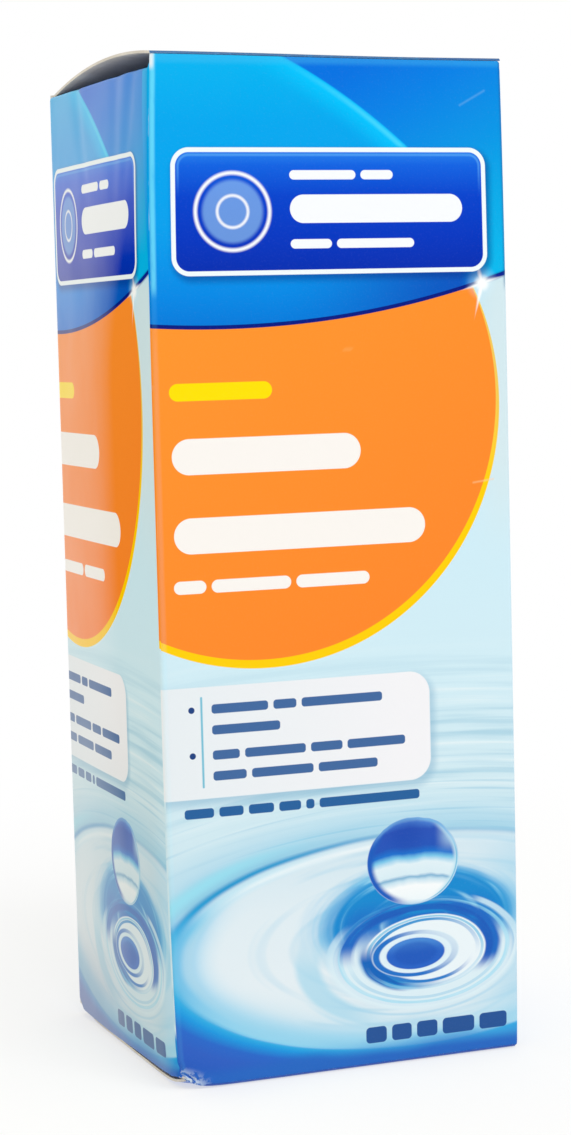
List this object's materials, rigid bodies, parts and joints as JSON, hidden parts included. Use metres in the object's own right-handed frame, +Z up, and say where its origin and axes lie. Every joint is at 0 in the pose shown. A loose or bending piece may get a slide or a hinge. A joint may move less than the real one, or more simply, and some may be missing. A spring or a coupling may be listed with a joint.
{
  "type": "boxed contact lens solution bottle",
  "caption": "Tall printed tuck-end carton with hinged flaps at both ends, holding an oval white squeeze bottle with a press-on flip-top closure and a folded leaflet.",
  "frame": {"origin": "centre of the carton's underside, the face it stands on", "axes": "+Z up the carton's height; -Y out of the display panel; -X out of the second display panel on the left"},
  "size_m": [0.07, 0.064, 0.19],
  "materials": {
    "print_board": "coated printed folding board, aqueous gloss varnish over blue, orange and pale aqua print",
    "raw_board": "unprinted uncoated back of recycled folding board, matt, flecked fibres",
    "white_plastic": "blow-moulded white polyethylene, satin",
    "natural_plastic": "natural low-density polyethylene, waxy",
    "blue_plastic": "injection-moulded polypropylene, semi-gloss",
    "saline": "clear water-thin liquid",
    "clear_film": "clear shrink film",
    "label_film": "printed self-adhesive film, gloss",
    "paper": "thin uncoated leaflet paper"
  },
  "bodies": {
    "carton": {"carton_sleeve": "print_board", "glue_flap": "raw_board"},
    "top_lid": {"top_closure_panel": "print_board"},
    "top_tuck": {"top_tuck_flap": "print_board"},
    "top_dust_left": {"top_dust_flap_left": "raw_board"},
    "top_dust_right": {"top_dust_flap_right": "raw_board"},
    "bottom_lid": {"bottom_closure_panel": "print_board"},
    "bottom_tuck": {"bottom_tuck_flap": "print_board"},
    "bottom_dust_left": {"bottom_dust_flap_left": "raw_board"},
    "bottom_dust_right": {"bottom_dust_flap_right": "raw_board"},
    "bottle": {"bottle_body": "white_plastic", "saline_fill": "saline", "orifice_plug": "natural_plastic", "closure_base": "blue_plastic", "tamper_band": "clear_film", "front_label": "label_film", "back_label": "label_film"},
    "cap_lid": {"flip_lid": "blue_plastic"},
    "leaflet": {"folded_leaflet": "paper"}
  },
  "joints": [
    {"name": "bottle_lift", "type": "slide", "parent": "carton", "child": "bottle", "axis": [0, 0, 1], "range_m": [0, 0.1309]},
    {"name": "top_lid_hinge", "type": "hinge", "parent": "carton", "child": "top_lid", "pos_m": [0, -0.0323, 0.19], "axis": [1, 0, 0], "range_deg": [0, 251]},
    {"name": "top_tuck_crease", "type": "hinge", "parent": "top_lid", "child": "top_tuck", "pos_m": [0, 0.0309, 0.19], "axis": [1, 0, 0], "range_deg": [0, 50.5]},
    {"name": "top_dust_left_crease", "type": "hinge", "parent": "carton", "child": "top_dust_left", "pos_m": [-0.0353, 0, 0.1891], "axis": [0, -1, 0], "range_deg": [0, 188.5]},
    {"name": "top_dust_right_crease", "type": "hinge", "parent": "carton", "child": "top_dust_right", "pos_m": [0.0353, 0, 0.1891], "axis": [0, 1, 0], "range_deg": [0, 188.5]},
    {"name": "flip_lid_hinge", "type": "hinge", "parent": "bottle", "child": "cap_lid", "pos_m": [0, -0.0149, 0.1746], "axis": [1, 0, 0], "range_deg": [0, 113.5]},
    {"name": "leaflet_lift", "type": "slide", "parent": "carton", "child": "leaflet", "axis": [0, 0, 1], "range_m": [0, 0.0965]},
    {"name": "bottom_lid_hinge", "type": "hinge", "parent": "carton", "child": "bottom_lid", "pos_m": [0, -0.0323, 0], "axis": [-1, 0, 0], "range_deg": [0, 250]},
    {"name": "bottom_tuck_crease", "type": "hinge", "parent": "bottom_lid", "child": "bottom_tuck", "pos_m": [0, 0.0309, 0], "axis": [-1, 0, 0], "range_deg": [0, 50.5]},
    {"name": "bottom_dust_left_crease", "type": "hinge", "parent": "carton", "child": "bottom_dust_left", "pos_m": [-0.0353, 0, 0.0009], "axis": [0, 1, 0], "range_deg": [0, 188.5]},
    {"name": "bottom_dust_right_crease", "type": "hinge", "parent": "carton", "child": "bottom_dust_right", "pos_m": [0.0353, 0, 0.0009], "axis": [0, -1, 0], "range_deg": [0, 188.5]}
  ],
  "couplings": [
    {"joint": "top_lid_hinge", "follows": "bottle_lift", "rad_per_m": 33.333},
    {"joint": "top_tuck_crease", "follows": "bottle_lift", "rad_per_m": 6.6667},
    {"joint": "top_dust_left_crease", "follows": "bottle_lift", "rad_per_m": 25},
    {"joint": "top_dust_right_crease", "follows": "bottle_lift", "rad_per_m": 25},
    {"joint": "flip_lid_hinge", "follows": "bottle_lift", "rad_per_m": 15},
    {"joint": "leaflet_lift", "follows": "bottle_lift", "ratio": 0.7333},
    {"joint": "bottom_tuck_crease", "follows": "bottom_lid_hinge", "ratio": 0.2},
    {"joint": "bottom_dust_left_crease", "follows": "bottom_lid_hinge", "ratio": 0.75},
    {"joint": "bottom_dust_right_crease", "follows": "bottom_lid_hinge", "ratio": 0.75}
  ]
}
